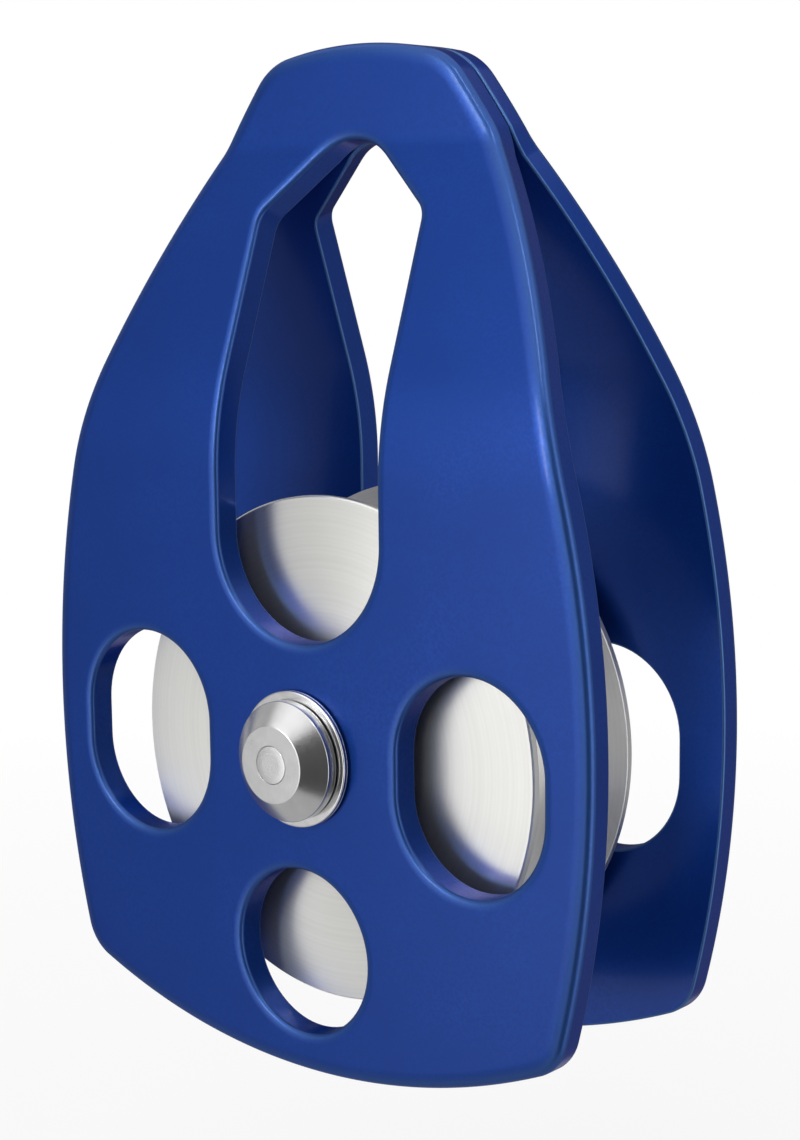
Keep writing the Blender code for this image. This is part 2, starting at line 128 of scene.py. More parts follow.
class PlateSizes(bpy.types.PropertyGroup):
    """Sizes of the side plates"""

    width: length("Width", "Widest part of a side plate", span("front_cheek", 0))
    thickness: length("Thickness", "Metal of a side plate", 0.0045)
    outer_face: length(
        "Outer face", "Outer face from the middle plane beside the sheave", far_side("front_cheek", 1))
    crown_face: length("Crown face", "Outer face from the middle plane at the crown", 0.0047)
    top_level: length("Top", "Top of the plates above the axle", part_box("front_cheek")[1][2] - AXLE_LEVEL)
    bottom_depth: length(
        "Bottom", "Bottom of the plates below the axle", AXLE_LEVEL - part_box("front_cheek")[0][2])
    widest_level: length("Widest level", "Height of the widest part above the axle", 0.004)
    side_arc: length("Side arc", "Radius of the sides", 0.150)
    top_arc: length("Top arc", "Radius of the top", 0.066)
    bottom_arc: length("Bottom arc", "Radius of the bottom", 0.106)
    shoulder: length("Shoulder", "Radius between top and side", 0.010)
    corner: length("Corner", "Radius between side and bottom", 0.0075)
    face_round: length("Face edge", "Rounding of the outside edge of the outer face", 0.0013)
    roll_width: length(
        "Edge roll", "Distance from the outside edge at which the outer face begins to fall", 0.0027)
    roll_slope: turn("Roll slope", "Slope of the outer face where the outside edge's rounding starts", 16.0)
    hole_round: length("Hole edge", "Rounding of the holes' edges in the outer face", 0.0007)
    hole_roll: length(
        "Hole roll", "Distance from a hole's edge at which the outer face begins to fall", 0.0016)
    hole_slope: turn("Hole slope", "Slope of the outer face where a hole's rounding starts", 12.0)
    hole_lip: length("Hole lip", "How far the rounded edges stand into the holes", 0.00015)
    back_round: length("Back edge", "Rounding of the edges of the inner face", 0.0004)
    lower_bend: length("Lower bend", "Radius of the bend above the sheave", 0.050)
    upper_bend: length("Upper bend", "Radius of the bend below the crown", 0.008)
    bend_start: length("Bend start", "Height above the axle at which the plates begin to close", 0.040)
    bend_end: length("Bend end", "Height above the axle at which the plates meet", 0.0894)
    eye_top: length("Eye top", "Crown of the eye above the axle", -AXLE_LEVEL)
    eye_width: length("Eye width", "Width of the eye", 0.0312)
    eye_bottom: length("Eye bottom", "Lowest point of the eye above the axle", 0.0165)
    eye_crown: length("Eye crown", "Radius of the eye's crown", 0.010)
    eye_shoulder: length("Eye shoulder", "Radius where the eye's roof meets its sides", 0.0035)
    eye_roof: turn("Eye roof", "Slope of the eye's roof", 41.0)
    window_width: length("Window width", "Width of a side window", 0.0258)
    window_height: length("Window height", "Height of a side window", 0.0312)
    window_rim: length("Window rim", "Metal outside a side window", 0.0075)
    low_window: length("Low window", "Diameter of the low window", 0.025)
    low_rim: length("Low rim", "Metal below the low window", 0.0057)
    bore: length("Bore", "Radius of the axle's hole", 0.0063)


class SheaveSizes(bpy.types.PropertyGroup):
    """Sizes of the sheave"""

    radius: length("Radius", "Outside of the rim", span("sheave", 0) / 2)
    half_width: length("Half width", "Side face from the middle plane", span("sheave", 1) / 2)
    tread: length("Tread", "Radius at the bottom of the groove", 0.025)
    groove: length("Groove", "Radius of the rope groove", 0.0085)
    land: length("Land", "Flat land of the rim beside the groove", 0.00125)
    chamfer: length("Chamfer", "Broken edge of the rim", 0.00025)
    hub: length("Hub", "Radius of the bearing seat", 0.014)
    rib: length("Rib", "Half width of the rib between the bearings", 0.001)
    rib_radius: length("Rib bore", "Radius of the rib's hole", 0.0122)
    clip_start: length("Ring groove start", "Near side of the retaining ring's groove", 0.0093)
    clip_end: length("Ring groove end", "Far side of the retaining ring's groove", 0.0109)
    clip_radius: length("Ring groove radius", "Bottom of the retaining ring's groove", 0.0149)


class AxleSizes(bpy.types.PropertyGroup):
    """Sizes of the axle, heads, washers and spacers"""

    radius: length("Radius", "Radius of the axle", 0.006)
    rivet: length("Rivet", "Radius of the rivet end", 0.00275)
    rivet_gap: length("Rivet gap", "Hairline between the rivet end and the head", 0.00007)
    head_radius: length("Head", "Radius of the head's collar", span("front_head", 0) / 2)
    head_face: length("Head face", "Radius of the head's flat end", 0.00565)
    head_collar: length("Collar", "Height of the head's collar", 0.00165)
    head_in: length("Head start", "Underside of the head from the middle plane", 0.02015)
    head_out: length("Head end", "Flat end from the middle plane", far_side("front_head", 1))
    washer_radius: length("Washer", "Radius of the washer", span("front_washer", 0) / 2)
    washer_in: length("Washer start", "Inner face of the washer from the middle plane", 0.01895)
    washer_out: length("Washer end", "Outer face of the washer from the middle plane", 0.01985)
    spacer: length("Spacer", "Outside radius of the spacers", span("centre_spacer", 0) / 2)
    bore: length("Bore", "Radius of the holes that go over the axle", 0.0063)


class BearingSizes(bpy.types.PropertyGroup):
    """Sizes of the bearings and retaining rings"""

    outside: length("Outside", "Outside radius of the outer ring", 0.0137)
    bore: length("Bore", "Inside radius of the inner ring", 0.0063)
    start: length("Start", "Near side of a bearing from the middle plane", 0.0013)
    width: length("Width", "Width of a bearing", 0.008)
    pitch: length("Pitch", "Radius of the circle of balls", 0.010)
    ball: length("Ball", "Radius of a ball", 0.00238)
    race: length("Race", "Radius of the ball race", 0.00268)
    shoulder: length("Shoulder", "Half the gap between the rings", 0.0014)
    seal: length("Seal", "Thickness of a seal", 0.0005)
    seal_gap: length("Seal gap", "Gap round a seal", 0.0003)
    seal_recess: length("Seal recess", "Depth of a seal below the ring's side", 0.00015)
    cage_depth: length("Cage depth", "Radial depth of the cage", 0.0014)
    cage_rim: length("Cage rim", "Rim of the cage behind the balls", 0.00037)
    cage_prong: length("Cage prong", "Reach of the prongs past the balls' middle", 0.0012)
    clip_in: length("Ring start", "Near side of the retaining ring", 0.0096)
    clip_out: length("Ring end", "Far side of the retaining ring", 0.0106)
    clip_outside: length("Ring outside", "Outside radius of the retaining ring", 0.0146)
    clip_band: length("Ring band", "Width of the retaining ring's band", 0.0017)
    clip_lug: length("Ring lug", "Reach of the lugs inside the band", 0.0013)
    clip_hole: length("Lug hole", "Radius of the tool holes", 0.00055)
    clip_gap: turn("Ring gap", "Half the gap between the lugs", 16.0)
    clip_lug_turn: turn("Lug", "Part of the ring that a lug takes", 10.0)
    balls: bpy.props.IntProperty(name="Balls", description="Balls in a bearing", default=8, min=3)


class Finishes(bpy.types.PropertyGroup):
    """Colours of all surfaces"""

    anodise: colour("Anodise", "Blue of the plates", (0.0065, 0.0525, 0.325))
    anodise_deep: colour("Deep anodise", "Darkest blue of the plates", (0.005, 0.044, 0.280))
    # The edge anodise is a paler colour on the rounded edges that stands partly for wear and partly for a
    # painted highlight.
    anodise_edge_highlight: colour("Edge anodise", "Paler blue on rounded edges", (0.095, 0.215, 0.420))
    aluminium: colour("Aluminium", "Turned sides of the sheave", (0.96, 0.955, 0.920))
    aluminium_dull: colour("Dull aluminium", "Duller rings in the turned sides", (0.88, 0.875, 0.840))
    head_steel: colour("Head", "Pressed steel of the heads", (0.80, 0.80, 0.80))
    head_dull: colour("Dull head", "Duller patches of the heads", (0.75, 0.75, 0.75))
    washer_steel: colour("Washer", "Bright steel of the washers", (0.90, 0.90, 0.90))
    washer_dull: colour("Dull washer", "Duller patches of the washers", (0.80, 0.80, 0.80))
    axle_steel: colour("Axle", "Ground steel of the axle and spacers", (0.83, 0.83, 0.83))
    axle_dull: colour("Dull axle", "Duller patches of the axle and spacers", (0.77, 0.77, 0.77))
    bearing_steel: colour("Bearing", "Hardened steel of the rings and balls", (0.50, 0.51, 0.53))
    bearing_dull: colour("Dull bearing", "Duller patches of the rings and balls", (0.42, 0.43, 0.45))
    brass: colour("Brass", "Pressed brass of the cages", (0.60, 0.42, 0.16))
    brass_dull: colour("Dull brass", "Duller patches of the cages", (0.46, 0.31, 0.11))
    rubber: colour("Rubber", "Black rubber of the seals", (0.018, 0.018, 0.018))
    rubber_dust: colour("Rubber bloom", "Greyer bloom on the seals", (0.040, 0.040, 0.040))
    spring: colour("Spring steel", "Blackened steel of the retaining rings", (0.075, 0.075, 0.080))
    spring_worn: colour("Worn spring steel", "Barer steel of the retaining rings", (0.140, 0.140, 0.145))
    paper: colour("Paper", "Floor and backdrop", (0.88, 0.88, 0.88))


class StageSizes(bpy.types.PropertyGroup):
    """Camera, floor and light"""

    azimuth: turn("Azimuth", "Camera's turn to the right of the front", 40.01)
    elevation: turn("Elevation", "Camera's height as an angle", 8.43)
    roll: turn("Roll", "Camera's roll", -0.65)
    distance: length("Distance", "Camera from its target", 0.33087)
    target: bpy.props.FloatVectorProperty(
        name="Target", description="Point that the camera looks at, from the axle's centre", size=3,
        default=(0.00405, 0.0, 0.0256), precision=5, unit="LENGTH", subtype="TRANSLATION")
    lens: bpy.props.FloatProperty(
        name="Lens", description="Focal length on a 36 mm wide sensor", default=70.506, unit="CAMERA")
    floor_drop: length("Floor drop", "Floor below the lowest point of the plates", 0.10)
    sky_level: amount("Sky level", "Strength of the soft light from all round", 0.5)


def arc(centre, radius, start, end, segments):
    """Points on an arc in a plane, cut into so many segments, both ends included."""
    points = []
    for step in range(segments + 1):
        angle = start + (end - start) * step / segments
        points.append((centre[0] + radius * math.cos(angle), centre[1] + radius * math.sin(angle)))
    return points


def chain(*runs):
    """Runs of points one after the other, without a point that repeats the one before it."""
    points = []
    for run in runs:
        for point in run:
            if not points or math.dist(point, points[-1]) > SAME_POINT:
                points.append(point)
    return points


def mirrored(right_half):
    """A closed loop from its right half, which runs from top to bottom on the middle line."""
    return right_half + [(-x, z) for x, z in reversed(right_half[1:-1])]


def bearing_of(centre, point):
    """Angle of the line from a centre to a point."""
    return math.atan2(point[1] - centre[1], point[0] - centre[0])


def crossing(first, first_radius, second, second_radius, upper):
    """The upper or lower point where two circles cross."""
    gap = math.dist(first, second)
    along = (first_radius ** 2 - second_radius ** 2 + gap ** 2) / (2 * gap)
    across = math.sqrt(first_radius ** 2 - along ** 2)
    unit = ((second[0] - first[0]) / gap, (second[1] - first[1]) / gap)
    middle = (first[0] + unit[0] * along, first[1] + unit[1] * along)
    points = [
        (middle[0] - unit[1] * across, middle[1] + unit[0] * across),
        (middle[0] + unit[1] * across, middle[1] - unit[0] * across),
    ]
    return max(points, key=lambda p: p[1]) if upper else min(points, key=lambda p: p[1])


def plate_outline(plate, grow):
    """Front view of a side plate, grown or shrunk all round."""
    side = (plate.width / 2 - plate.side_arc, plate.widest_level)
    top = (0.0, plate.top_level - plate.top_arc)
    bottom = (0.0, plate.bottom_arc - plate.bottom_depth)
    shoulder = crossing(side, plate.side_arc - plate.shoulder, top, plate.top_arc - plate.shoulder, True)
    corner = crossing(side, plate.side_arc - plate.corner, bottom, plate.bottom_arc - plate.corner, False)
    over = bearing_of(top, shoulder)
    high = bearing_of(side, shoulder)
    low = bearing_of(side, corner)
    under = bearing_of(bottom, corner)
    return mirrored(chain(
        arc(top, plate.top_arc + grow, math.pi / 2, over, 24),
        arc(shoulder, plate.shoulder + grow, over, high, 16),
        arc(side, plate.side_arc + grow, high, low, 96),
        arc(corner, plate.corner + grow, low, under, 18),
        arc(bottom, plate.bottom_arc + grow, under, -math.pi / 2, 36),
    ))


def eye_outline(plate, grow):
    """The eye: a rounded crown, a sloping roof, straight sides and a half-round bottom."""
    half = plate.eye_width / 2
    crown = (0.0, plate.eye_top - plate.eye_crown)
    shoulder_x = half - plate.eye_shoulder
    reach = plate.eye_crown - plate.eye_shoulder - shoulder_x * math.sin(plate.eye_roof)
    shoulder = (shoulder_x, crown[1] + reach / math.cos(plate.eye_roof))
    bowl = (0.0, plate.eye_bottom + half)
    roof = math.pi / 2 - plate.eye_roof
    return mirrored(chain(
        arc(crown, plate.eye_crown + grow, math.pi / 2, roof, 16),
        arc(shoulder, plate.eye_shoulder + grow, roof, 0.0, 12),
        arc(bowl, half + grow, 0.0, -math.pi / 2, 40),
    ))


def window_outline(plate, side, grow):
    """A side window with half-round ends, on the right for side 1."""
    radius = plate.window_width / 2
    middle = plate.width / 2 - plate.window_rim - radius
    straight = plate.window_height / 2 - radius
    loop = chain(
        arc((middle, straight), radius + grow, 0.0, math.pi, 44),
        arc((middle, -straight), radius + grow, math.pi, 2 * math.pi, 44),
    )
    return [(side * x, z) for x, z in loop]


def round_outline(level, radius, segments):
    """A round hole on the middle line, at a level above the axle."""
    return arc((0.0, level), radius, 0.0, 2 * math.pi, segments)[:-1]


def low_window_outline(plate, grow):
    """The round window below the axle."""
    radius = plate.low_window / 2
    return round_outline(plate.low_rim + radius - plate.bottom_depth, radius + grow, 80)


def edge_rings(plate, rounding, roll_width=0.0, roll_slope=0.0):
    """Inset, depth and share of paler edge colour (wear and painted highlight) of the rings down a plate's
    edge, from outer face to inner face.
    """
    rings = []
    reach = roll_width - rounding * (1 - math.sin(roll_slope))
    if roll_width:
        for step in range(ROLL_STEPS):
            share = step / ROLL_STEPS
            fall = reach * roll_slope * share ** 2 / 2
            rings.append((roll_width - reach * share, fall, FACE_WEAR_AND_HIGHLIGHT * share ** 2))
    fall = reach * roll_slope / 2
    for step in range(EDGE_STEPS + 1):
        angle = roll_slope + (math.pi / 2 - roll_slope) * step / EDGE_STEPS
        depth = fall + rounding * (math.cos(roll_slope) - math.cos(angle))
        wear_and_highlight_share = FACE_WEAR_AND_HIGHLIGHT if step < EDGE_STEPS else 0.0
        rings.append((rounding * (1 - math.sin(angle)), depth, wear_and_highlight_share))
    if not roll_width:
        rings[0] = (*rings[0][:2], 0.0)
    # The inner face's rounded edges also get the paler colour, as wear and as a painted highlight along the
    # edge.
    back = plate.back_round
    for step in range(BACK_STEPS + 1):
        angle = math.pi / 2 * step / BACK_STEPS
        wear_and_highlight_share = BACK_WEAR_AND_HIGHLIGHT if 0 < step < BACK_STEPS else 0.0
        rings.append((back * (1 - math.cos(angle)), plate.thickness - back * (1 - math.sin(angle)), wear_and_highlight_share))
    return rings


def slab(contours):
    """A closed slab from contours, each a list of rings of (x, depth, z) from one face to the other."""
    mesh = bmesh.new()
    faces_edges = ([], [])
    for rings in contours:
        rows = [[mesh.verts.new(point) for point in ring] for ring in rings]
        count = len(rows[0])
        for near, far in zip(rows, rows[1:]):
            for i in range(count):
                after = (i + 1) % count
                mesh.faces.new((near[i], near[after], far[after], far[i]))
        for row, edges in ((rows[0], faces_edges[0]), (rows[-1], faces_edges[1])):
            edges.extend(mesh.edges.get((row[i], row[(i + 1) % count])) for i in range(count))
    for edges in faces_edges:
        bmesh.ops.triangle_fill(mesh, edges=edges, use_beauty=True, use_dissolve=False)
    return mesh


def bend_slope(plate):
    """Slope at which the straight run joins both bends."""
    radii = plate.lower_bend + plate.upper_bend
    offset = plate.outer_face - plate.crown_face
    rise = plate.bend_end - plate.bend_start
    return math.atan2(rise, radii - offset) - math.acos(radii / math.hypot(radii - offset, rise))


def bend_levels(plate):
    """Levels at which the plate is cut so that it can follow the bends."""
    slope = bend_slope(plate)
    levels = []
    for step in range(LOWER_BEND_STEPS + 1):
        levels.append(plate.bend_start + plate.lower_bend * math.sin(slope * step / LOWER_BEND_STEPS))
    for step in range(UPPER_BEND_STEPS + 1):
        levels.append(plate.bend_end - plate.upper_bend * math.sin(slope * step / UPPER_BEND_STEPS))
    return levels


def outer_face(plate, level):
    """Distance of the outer face from the middle plane at a level, and its slope there."""
    slope = bend_slope(plate)
    lower_end = plate.bend_start + plate.lower_bend * math.sin(slope)
    upper_start = plate.bend_end - plate.upper_bend * math.sin(slope)
    if level <= plate.bend_start:
        return plate.outer_face, 0.0
    if level >= plate.bend_end:
        return plate.crown_face, 0.0
    if level < lower_end:
        angle = math.asin((level - plate.bend_start) / plate.lower_bend)
        return plate.outer_face - plate.lower_bend * (1 - math.cos(angle)), angle
    if level > upper_start:
        angle = math.asin((plate.bend_end - level) / plate.upper_bend)
        return plate.crown_face + plate.upper_bend * (1 - math.cos(angle)), angle
    fall = (level - lower_end) * math.tan(slope)
    return plate.outer_face - plate.lower_bend * (1 - math.cos(slope)) - fall, slope


def plate_mesh(plate, side):
    """A side plate with rounded edges, bent in above the sheave; side -1 is the front plate."""
    outside = edge_rings(plate, plate.face_round, plate.roll_width, plate.roll_slope)
    rolled = edge_rings(plate, plate.hole_round, plate.hole_roll, plate.hole_slope)
    holes = [(inset - plate.hole_lip, depth, wear_and_highlight_share) for inset, depth, wear_and_highlight_share in rolled]
    bore = edge_rings(plate, plate.back_round)
    edges = (
        (outside, lambda grow: plate_outline(plate, -grow)),
        (holes, lambda grow: eye_outline(plate, grow)),
        (holes, lambda grow: window_outline(plate, 1, grow)),
        (holes, lambda grow: window_outline(plate, -1, grow)),
        (holes, lambda grow: low_window_outline(plate, grow)),
        (bore, lambda grow: round_outline(0.0, plate.bore + grow, 64)),
    )
    contours = []
    worn_and_highlit = []
    for rings, outline in edges:
        loops = [[(x, depth, z) for x, z in outline(inset)] for inset, depth, wear_and_highlight_share in rings]
        contours.append(loops)
        for loop, (inset, depth, wear_and_highlight_share) in zip(loops, rings):
            worn_and_highlit.extend([wear_and_highlight_share] * len(loop))
    mesh = slab(contours)
    # Each point carries its share of the paler edge colour: wear and a painted highlight on the rounded
    # edges.
    layer = mesh.verts.layers.float.new("edge_wear_and_highlight")
    for vert, wear_and_highlight_share in zip(mesh.verts, worn_and_highlit):
        vert[layer] = wear_and_highlight_share
    close = 2e-6
    for level in bend_levels(plate):
        everything = mesh.verts[:] + mesh.edges[:] + mesh.faces[:]
        bmesh.ops.bisect_plane(mesh, geom=everything, dist=close, plane_co=(0, 0, level), plane_no=(0, 0, 1))
    for vert in mesh.verts:
        depth = vert.co.y
        face, slope = outer_face(plate, vert.co.z)
        vert.co.y = side * (face - depth * math.cos(slope))
        vert.co.z -= depth * math.sin(slope)
    return mesh


def soften(profile, closed):
    """A profile of (radius, y, rounding) with its corners rounded, as points of (radius, y)."""
    points = []
    count = len(profile)
    most = 0.48
    for i, (r, y, rounding) in enumerate(profile):
        here = Vector((r, y))
        if rounding <= 0 or (not closed and i in (0, count - 1)):
            points.append((r, y))
            continue
        before = Vector(profile[i - 1][:2]) - here
        after = Vector(profile[(i + 1) % count][:2]) - here
        half = before.angle(after) / 2
        reach = min(rounding / math.tan(half), before.length * most, after.length * most)
        start = here + before.normalized() * reach
        end = here + after.normalized() * reach
        for step in range(CORNER_STEPS + 1):
            share = step / CORNER_STEPS
            bow = start * (1 - share) ** 2 + here * 2 * share * (1 - share) + end * share ** 2
            points.append((bow.x, bow.y))
    return points


def turned(profile, segments, solid=False):
    """A profile of (radius, y) revolved about the axle; a solid one is closed by its two end faces."""
    mesh = bmesh.new()
    rows = []
    for step in range(segments):
        angle = 2 * math.pi * step / segments
        rows.append([mesh.verts.new((r * math.cos(angle), y, r * math.sin(angle))) for r, y in profile])
    count = len(profile)
    for step in range(segments):
        here = rows[step]
        there = rows[(step + 1) % segments]
        for i in range(count - 1 if solid else count):
            after = (i + 1) % count
            mesh.faces.new((here[i], here[after], there[after], there[i]))
    if solid:
        mesh.faces.new([row[0] for row in rows])
        mesh.faces.new([row[-1] for row in rows])
    return mesh


def sphere_mesh(radius, segments, rings):
    """A sphere about the origin whose points come in the same order each time, with its poles up and down."""
    mesh = bmesh.new()
    top = mesh.verts.new((0.0, 0.0, radius))
    bottom = mesh.verts.new((0.0, 0.0, -radius))
    rows = []
    for ring in range(1, rings):
        tilt = math.pi * ring / rings
        out = radius * math.sin(tilt)
        level = radius * math.cos(tilt)
        row = []
        for step in range(segments):
            angle = 2 * math.pi * step / segments
            row.append(mesh.verts.new((out * math.cos(angle), out * math.sin(angle), level)))
        rows.append(row)
    for i in range(segments):
        after = (i + 1) % segments
        mesh.faces.new((top, rows[0][i], rows[0][after]))
        for upper, lower in zip(rows, rows[1:]):
            mesh.faces.new((upper[i], lower[i], lower[after], upper[after]))
        mesh.faces.new((bottom, rows[-1][after], rows[-1][i]))
    return mesh


def on_side(profile, side):
    """A profile on the rear side of the middle plane for side 1, and on the front side for side -1."""
    return [(point[0], side * point[1], *point[2:]) for point in profile]


def add_object(name, mesh, material, place):
    """An object of one material from a mesh, which is used up."""
    data = bpy.data.meshes.new(name)
    mesh.to_mesh(data)
    mesh.free()
    data.materials.append(material)
    made = bpy.data.objects.new(name, data)
    made.location = place
    bpy.context.scene.collection.objects.link(made)
    return made


def add_piece(name, mesh, material, body, node, bevel=0.0):
    """A piece from a mesh drawn about the axle, which rides on a body in place of a frame node."""
    bmesh.ops.recalc_face_normals(mesh, faces=mesh.faces[:])
    if mesh.calc_volume(signed=True) < 0:
        bmesh.ops.reverse_faces(mesh, faces=mesh.faces[:])
    for face in mesh.faces:
        face.smooth = True
    for edge in mesh.edges:
        edge.smooth = edge.calc_face_angle(0.0) < SHARP_ANGLE
    piece = add_object(name, mesh, material, (0.0, 0.0, AXLE_LEVEL))
    bpy.context.view_layer.update()
    if bevel:
        rounding = piece.modifiers.new("Broken edges", "BEVEL")
        rounding.width = bevel
        rounding.segments = 2
        rounding.limit_method = "ANGLE"
        rounding.angle_limit = BEVEL_ANGLE
    normals = piece.modifiers.new("Even shading", "WEIGHTED_NORMAL")
    normals.keep_sharp = True
    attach(piece, body)
    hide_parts(node)
    return piece


def new_material(name):
    """A material with its node tree and its main shader."""
    material = bpy.data.materials.new(name)
    material.use_nodes = True
    return material, material.node_tree, material.node_tree.nodes["Principled BSDF"]


def coordinates(tree):
    """Places in the piece's own space, in metres."""
    return tree.nodes.new("ShaderNodeTexCoord").outputs["Object"]


def noise(tree, vector, scale, detail):
    """Noise that is alike in all directions."""
    node = tree.nodes.new("ShaderNodeTexNoise")
    node.inputs["Scale"].default_value = scale
    node.inputs["Detail"].default_value = detail
    tree.links.new(vector, node.inputs["Vector"])
    return node.outputs["Fac"]


def distance_of(tree, vector):
    """Length of a vector."""
    node = tree.nodes.new("ShaderNodeVectorMath")
    node.operation = "LENGTH"
    tree.links.new(vector, node.inputs[0])
    return node.outputs["Value"]


def rings_noise(tree, vector, scale, detail):
    """Noise that changes only with the distance from the axle, as a lathe tool leaves it."""
    flatten = tree.nodes.new("ShaderNodeVectorMath")
    flatten.operation = "MULTIPLY"
    flatten.inputs[1].default_value = (1.0, 0.0, 1.0)
    tree.links.new(vector, flatten.inputs[0])
    node = tree.nodes.new("ShaderNodeTexNoise")
    node.noise_dimensions = "1D"
    node.inputs["Scale"].default_value = scale
    node.inputs["Detail"].default_value = detail
    tree.links.new(distance_of(tree, flatten.outputs[0]), node.inputs["W"])
    return node.outputs["Fac"]


def painted(tree, name):
    """A value that the mesh carries at its points."""
    node = tree.nodes.new("ShaderNodeAttribute")
    node.attribute_name = name
    return node.outputs["Fac"]


def between(tree, value, low, high, start=0.3, end=0.7):
    """A value spread from low to high as the given one goes from start to end."""
    node = tree.nodes.new("ShaderNodeMapRange")
    node.inputs["From Min"].default_value = start
    node.inputs["From Max"].default_value = end
    node.inputs["To Min"].default_value = low
    node.inputs["To Max"].default_value = high
    tree.links.new(value, node.inputs["Value"])
    return node.outputs["Result"]


def blend_colours(tree, factor, first, second):
    """Mix of two colours; either may be a colour or the output of another node."""
    node = tree.nodes.new("ShaderNodeMix")
    node.data_type = "RGBA"
    tree.links.new(factor, node.inputs[0])
    for socket, value in ((node.inputs[6], first), (node.inputs[7], second)):
        if isinstance(value, bpy.types.NodeSocket):
            tree.links.new(value, socket)
        else:
            socket.default_value = (*value, 1.0)
    return node.outputs[2]


def blend_values(tree, factor, first, second):
    """Mix of the output of another node and a plain number."""
    node = tree.nodes.new("ShaderNodeMix")
    tree.links.new(factor, node.inputs[0])
    tree.links.new(first, node.inputs[2])
    node.inputs[3].default_value = second
    return node.outputs[0]


def bump(tree, shader, height, strength, distance, before=None):
    """Relief on a surface, on top of the relief before it."""
    node = tree.nodes.new("ShaderNodeBump")
    node.inputs["Strength"].default_value = strength
    node.inputs["Distance"].default_value = distance
    tree.links.new(height, node.inputs["Height"])
    if before is not None:
        tree.links.new(before, node.inputs["Normal"])
    tree.links.new(node.outputs["Normal"], shader.inputs["Normal"])
    return node.outputs["Normal"]


def anodised_plate(finish):
    """Satin blue anodise over blasted aluminium, a little paler where edges are rounded, as wear and as a
    painted highlight.
    """
    material, tree, shader = new_material("anodised_plate")
    place = coordinates(tree)
    clouds = between(tree, noise(tree, place, scale=70.0, detail=3.0), 0.0, 1.0)
    grain = noise(tree, place, scale=2000.0, detail=2.0)
    specks = between(tree, grain, 0.0, 1.0, start=0.38, end=0.62)
    cloudy = blend_colours(tree, clouds, finish.anodise_deep, finish.anodise)
    body = blend_colours(tree, specks, cloudy, finish.anodise_deep)
    # Painted highlight and wear: rounded edges are mixed toward the paler edge colour.
    edged_and_highlit = blend_colours(tree, painted(tree, "edge_wear_and_highlight"), body, finish.anodise_edge_highlight)
    tree.links.new(edged_and_highlit, shader.inputs["Base Color"])
    tree.links.new(between(tree, grain, 0.35, 0.44), shader.inputs["Roughness"])
    waves = noise(tree, place, scale=420.0, detail=2.0)
    wavy = bump(tree, shader, waves, strength=0.05, distance=0.00006)
    bump(tree, shader, grain, strength=0.45, distance=0.00003, before=wavy)
    shader.inputs["Metallic"].default_value = 0.82
    shader.inputs["Specular Tint"].default_value = (0.25, 0.32, 0.60, 1.0)
    shader.inputs["Coat Weight"].default_value = 0.35
    shader.inputs["Coat Roughness"].default_value = 0.16
    return material


def turned_metal(name, bright, dull, smooth, rough, line_scale, line_depth, anisotropy=0.0, groove=0.0):
    """Metal turned on a lathe, with fine rings; groove is how rough the part is that the rope runs in."""
    material, tree, shader = new_material(name)
    place = coordinates(tree)
    fine = rings_noise(tree, place, line_scale, detail=0.0)
    broad = rings_noise(tree, place, line_scale / 7.0, detail=2.0)
    patches = noise(tree, place, scale=180.0, detail=3.0)
    mixed = bright
    for marks, strongest in ((broad, 0.5), (fine, 0.7), (patches, 0.35)):
        mixed = blend_colours(tree, between(tree, marks, 0.0, strongest), mixed, dull)
    tree.links.new(mixed, shader.inputs["Base Color"])
    roughness = between(tree, fine, smooth, rough)
    if groove:
        roughness = blend_values(tree, painted(tree, "groove"), roughness, groove)
    tree.links.new(roughness, shader.inputs["Roughness"])
    lined = bump(tree, shader, fine, line_depth, distance=0.00003)
    pits = noise(tree, place, scale=1500.0, detail=2.0)
    bump(tree, shader, pits, strength=0.006, distance=0.00002, before=lined)
    shader.inputs["Metallic"].default_value = 0.95
    if anisotropy:
        tangent = tree.nodes.new("ShaderNodeTangent")
        tangent.direction_type = "RADIAL"
        tangent.axis = "Y"
        tree.links.new(tangent.outputs["Tangent"], shader.inputs["Tangent"])
        shader.inputs["Anisotropic"].default_value = anisotropy
        shader.inputs["Anisotropic Rotation"].default_value = 0.25
    return material


def worked_metal(name, bright, dull, smooth, rough, scale, depth):
    """Pressed or polished metal with faint patches and small dents."""
    material, tree, shader = new_material(name)
    place = coordinates(tree)
    patches = noise(tree, place, scale, detail=3.0)
    mixed = blend_colours(tree, between(tree, patches, 0.0, 1.0), bright, dull)
    tree.links.new(mixed, shader.inputs["Base Color"])
    grain = noise(tree, place, scale * 5.0, detail=3.0)
    tree.links.new(between(tree, grain, smooth, rough), shader.inputs["Roughness"])
    dents = noise(tree, place, scale * 1.6, detail=2.0)
    bump(tree, shader, dents, depth, distance=0.00008)
    shader.inputs["Metallic"].default_value = 1.0
    return material


def seal_rubber(finish):
    """Moulded black rubber with a greyish bloom."""
    material, tree, shader = new_material("seal_rubber")
    place = coordinates(tree)
    patches = noise(tree, place, scale=900.0, detail=4.0)
    mixed = blend_colours(tree, between(tree, patches, 0.0, 1.0), finish.rubber, finish.rubber_dust)
    tree.links.new(mixed, shader.inputs["Base Color"])
    tree.links.new(between(tree, patches, 0.5, 0.68), shader.inputs["Roughness"])
    pores = noise(tree, place, scale=5000.0, detail=2.0)
    bump(tree, shader, pores, strength=0.15, distance=0.00002)
    return material


class PULLEY_OT_plates(bpy.types.Operator):
    """Make the two side plates"""
    bl_idname = "pulley.plates"
    bl_label = "Side Plates"

    def execute(self, context):
        plate = context.scene.pulley_plate
        material = anodised_plate(context.scene.pulley_finish)
        for place, side in SIDES:
            add_piece(place + "_side_plate", plate_mesh(plate, side), material, place + "_plate",
                      place + "_cheek")
        return {"FINISHED"}


